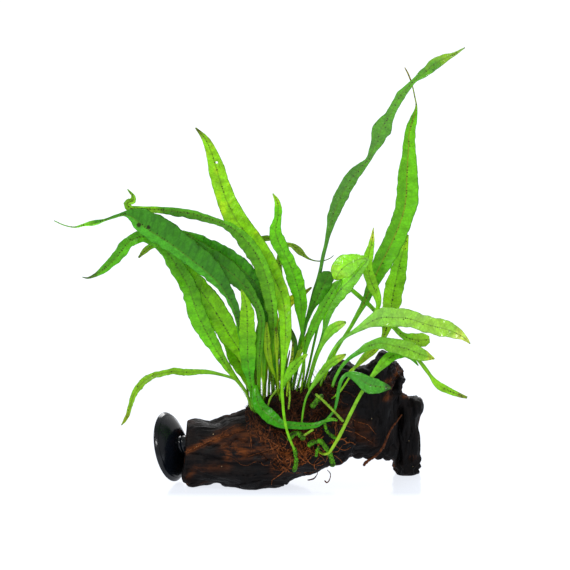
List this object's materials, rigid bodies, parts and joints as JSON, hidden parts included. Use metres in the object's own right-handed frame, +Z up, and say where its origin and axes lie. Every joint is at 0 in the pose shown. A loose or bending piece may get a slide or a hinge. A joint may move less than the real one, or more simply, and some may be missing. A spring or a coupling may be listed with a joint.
{
  "type": "java fern on driftwood",
  "caption": "Java fern with long arching strap leaves, tied by a mat of roots to a short piece of dark driftwood that has a black suction cup in its sawn end.",
  "frame": {"origin": "middle of the footprint at floor level", "axes": "+X along the wood from the suction cup to the leg, +Y to the back, +Z up; the front that the picture shows faces -Y"},
  "size_m": [0.2364, 0.0708, 0.2541],
  "materials": {
    "leaf_lime": "satin, thin lime-green leaf",
    "leaf_fresh": "satin, thin fresh green leaf",
    "leaf_mid": "satin, middle green leaf",
    "leaf_dark": "glossy, dark green leaf",
    "leaf_olive": "satin, brownish olive leaf",
    "fern_stem": "satin green rhizome and stalk",
    "woody_root": "matt red-brown root",
    "root_fibre": "matted rust-brown root fibres",
    "waterlogged_wood": "near-black, furrowed, half matt",
    "black_rubber": "glossy black"
  },
  "bodies": {
    "root": {"driftwood_crag": "waterlogged_wood", "driftwood_leg": "waterlogged_wood", "driftwood_trunk": "waterlogged_wood", "leaf_big_arch": "leaf_fresh", "leaf_crag_dark": "leaf_dark", "leaf_curled_tip": "leaf_mid", "leaf_folded": "leaf_lime", "leaf_front_lying": "leaf_dark", "leaf_front_short": "leaf_fresh", "leaf_front_stalk": "leaf_fresh", "leaf_left_broad": "leaf_fresh", "leaf_left_droop": "leaf_fresh", "leaf_left_inner": "leaf_fresh", "leaf_left_lit": "leaf_dark", "leaf_left_shaded": "leaf_mid", "leaf_left_short": "leaf_lime", "leaf_left_whip": "leaf_dark", "leaf_lime_short": "leaf_lime", "leaf_low_arch": "leaf_lime", "leaf_lower_arch": "leaf_fresh", "leaf_middle_hook": "leaf_fresh", "leaf_middle_twist": "leaf_fresh", "leaf_olive_thread": "leaf_olive", "leaf_right_behind": "leaf_fresh", "leaf_right_bent": "leaf_lime", "leaf_right_hanging": "leaf_lime", "leaf_right_inner": "leaf_mid", "leaf_right_shaded": "leaf_dark", "leaf_right_small": "leaf_lime", "leaf_tall_left": "leaf_lime", "leaf_tall_right": "leaf_fresh", "leaf_tallest": "leaf_mid", "leaf_yellow_end": "leaf_fresh", "leaf_yellow_tip": "leaf_lime", "leaf_young_1": "leaf_lime", "leaf_young_2": "leaf_lime", "leaf_young_3": "leaf_olive", "leaf_young_4": "leaf_dark", "leaf_young_5": "leaf_lime", "rhizome_branch": "fern_stem", "rhizome_front": "fern_stem", "rhizome_hook": "fern_stem", "rhizome_left": "fern_stem", "rhizome_right": "fern_stem", "rhizome_top": "fern_stem", "root_hanging_left": "woody_root", "root_hanging_right": "woody_root", "root_mat": "root_fibre", "root_woody": "woody_root", "stalk_bare_left": "fern_stem", "stalk_bare_right": "fern_stem", "stalk_broken": "fern_stem", "stalk_stub": "fern_stem", "suction_cup": "black_rubber"}
  },
  "joints": []
}
